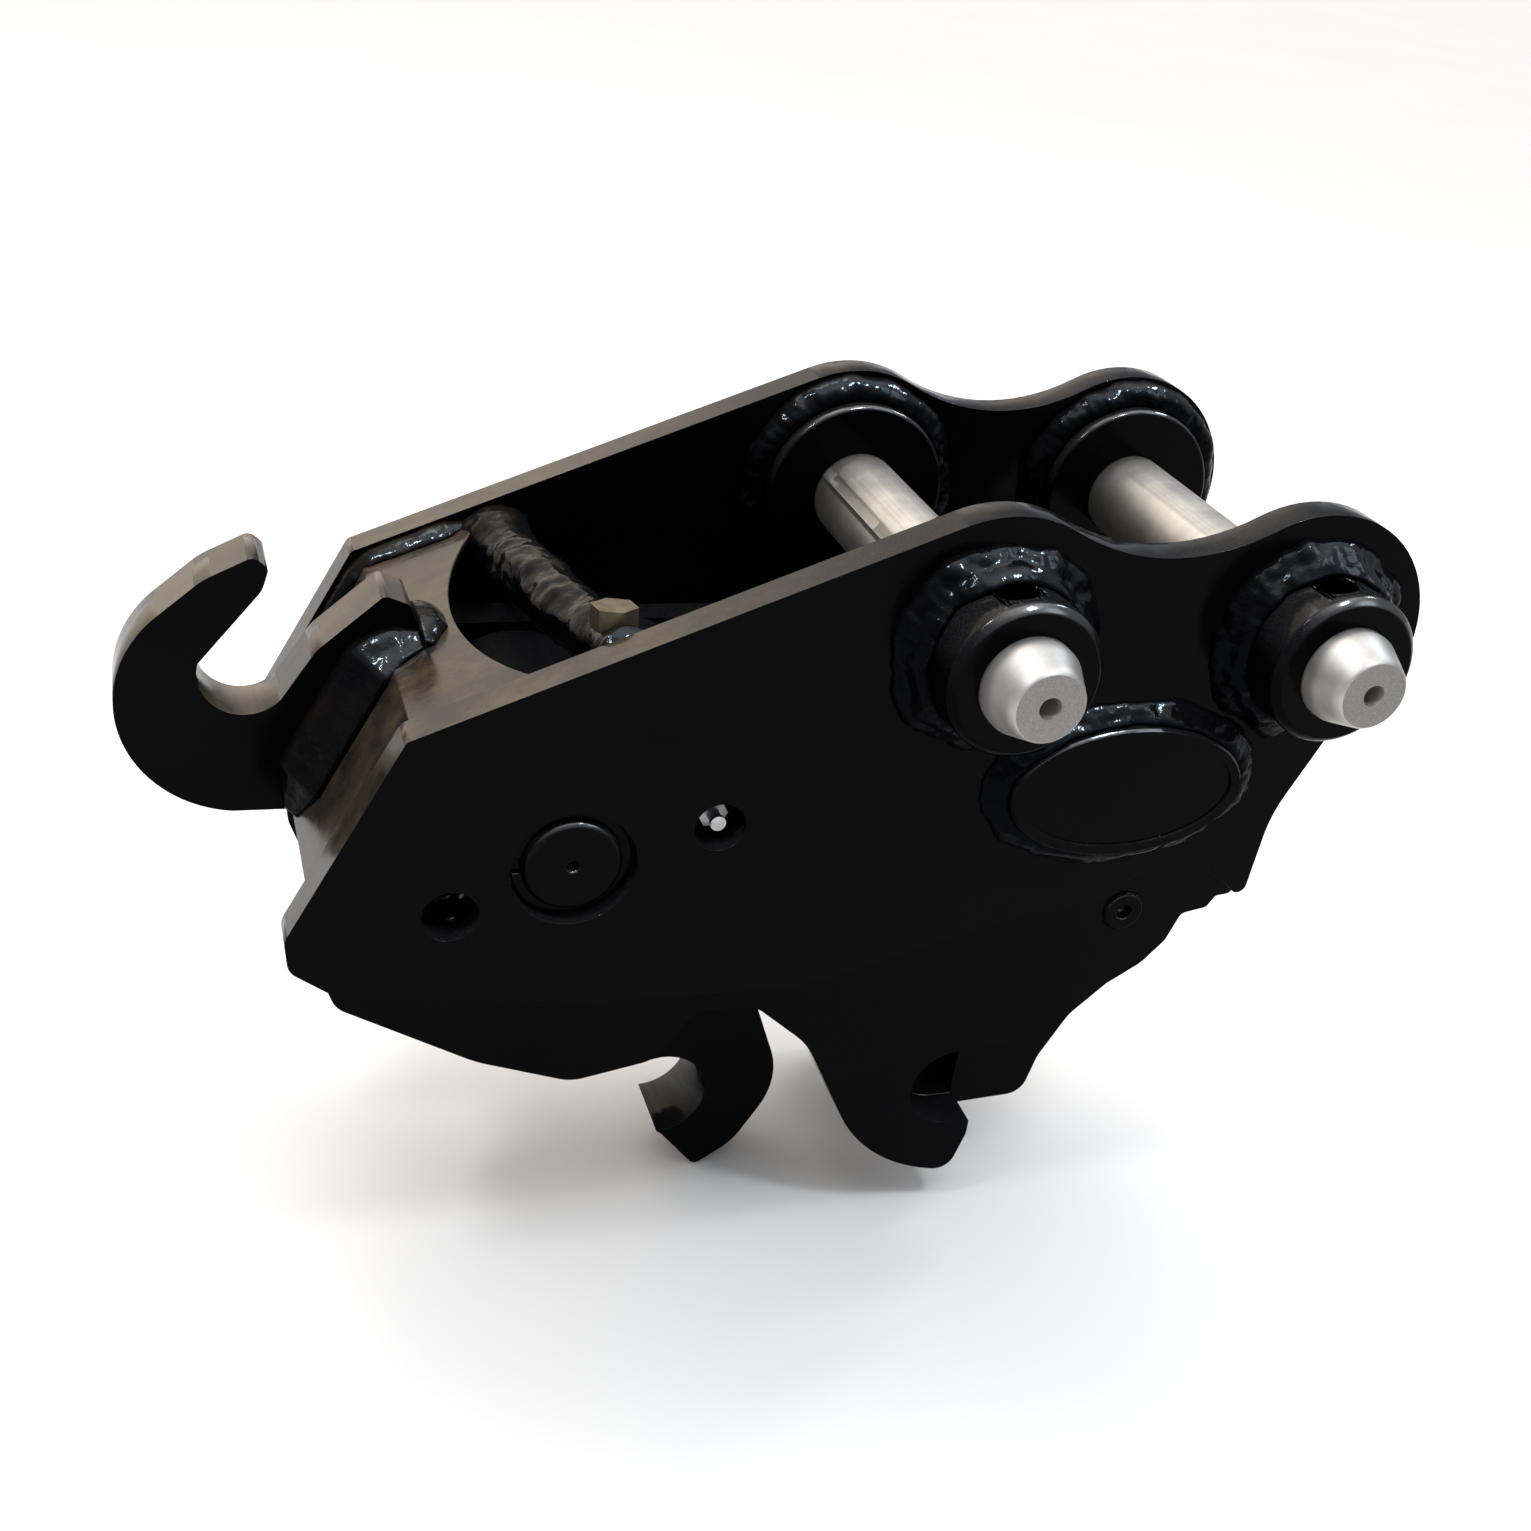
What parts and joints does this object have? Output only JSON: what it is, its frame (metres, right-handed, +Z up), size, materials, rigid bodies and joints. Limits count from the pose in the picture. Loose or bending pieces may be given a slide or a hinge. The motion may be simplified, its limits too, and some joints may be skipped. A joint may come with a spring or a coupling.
{
  "type": "quick coupler",
  "caption": "Hydraulic pin-grabbing quick coupler: two side plates with arm and link pins, a fixed jaw with a front lock, a moving hook, and a lifting hook at the tail.",
  "frame": {"origin": "arm pin axis at mid-width", "axes": "+X from the arm pin to the link pin, +Y to the left-hand side, +Z up from the pins"},
  "size_m": [0.5195, 0.2795, 0.3697],
  "materials": {
    "black_paint": "gloss",
    "machined_steel": "ground",
    "plain_steel": "satin",
    "chromed_rod": "polished",
    "bronze": "satin",
    "seal_rubber": "matte"
  },
  "bodies": {
    "frame": {"side_plate_right": "black_paint", "side_plate_left": "black_paint", "spacer_plate_right": "black_paint", "spacer_plate_left": "black_paint", "arm_boss_right": "black_paint", "arm_boss_left": "black_paint", "link_boss_right": "black_paint", "link_boss_left": "black_paint", "arm_collar_right": "black_paint", "arm_collar_left": "black_paint", "link_collar_right": "black_paint", "link_collar_left": "black_paint", "oval_pad_right": "black_paint", "oval_pad_left": "black_paint", "hook_plate_right": "black_paint", "hook_plate_left": "black_paint", "fixed_jaw_liner": "black_paint", "tail_plate": "black_paint", "lifting_hook": "black_paint", "cross_bar": "black_paint", "pivot_pin": "black_paint", "snap_rings": "black_paint", "lock_pin": "black_paint", "port_plug": "bronze", "thrust_washers": "plain_steel", "lock_washers": "plain_steel", "grease_nipples": "plain_steel"},
    "hook": {"moving_hook": "black_paint", "hook_hub": "black_paint", "hook_bushes": "bronze", "rod_pin": "plain_steel", "rod_pin_rings": "plain_steel"},
    "front_lock": {"lock_cheek_right": "black_paint", "lock_cheek_left": "black_paint", "lock_nose": "black_paint", "lock_spacer": "black_paint", "cylinder_base_pin": "plain_steel"},
    "cylinder": {"cylinder_barrel": "black_paint", "cylinder_base_eye": "black_paint", "cylinder_gland": "black_paint", "port_adapters": "plain_steel", "rod_wiper": "seal_rubber"},
    "rod": {"rod_clevis": "black_paint", "piston": "plain_steel", "piston_rod": "chromed_rod", "piston_seal": "seal_rubber"},
    "arm_pin": {"arm_pin": "machined_steel"},
    "link_pin": {"link_pin": "machined_steel"}
  },
  "joints": [
    {"name": "hook_swing", "type": "hinge", "parent": "frame", "child": "hook", "pos_m": [-0.16, 0, -0.09], "axis": [0, -1, 0], "range_deg": [0, 12]},
    {"name": "front_lock_swing", "type": "hinge", "parent": "frame", "child": "front_lock", "pos_m": [0.107, 0, -0.151], "axis": [0, -1, 0], "range_deg": [0, 24]},
    {"name": "cylinder_swing", "type": "hinge", "parent": "front_lock", "child": "cylinder", "pos_m": [0.1037, 0, -0.1131], "axis": [0, -1, 0], "range_deg": [-26.8, 0]},
    {"name": "rod_slide", "type": "slide", "parent": "cylinder", "child": "rod", "axis": [-0.9864, 0, -0.1642], "range_m": [-0.0288, 0]},
    {"name": "arm_pin_slide", "type": "slide", "parent": "frame", "child": "arm_pin", "axis": [0, 1, 0], "range_m": [0, 0.29]},
    {"name": "link_pin_slide", "type": "slide", "parent": "frame", "child": "link_pin", "axis": [0, 1, 0], "range_m": [0, 0.29]}
  ],
  "couplings": [
    {"joint": "front_lock_swing", "follows": "hook_swing", "ratio": 2},
    {"joint": "cylinder_swing", "follows": "hook_swing", "ratio": -2.2269},
    {"joint": "rod_slide", "follows": "hook_swing", "m_per_rad": -0.13708}
  ]
}
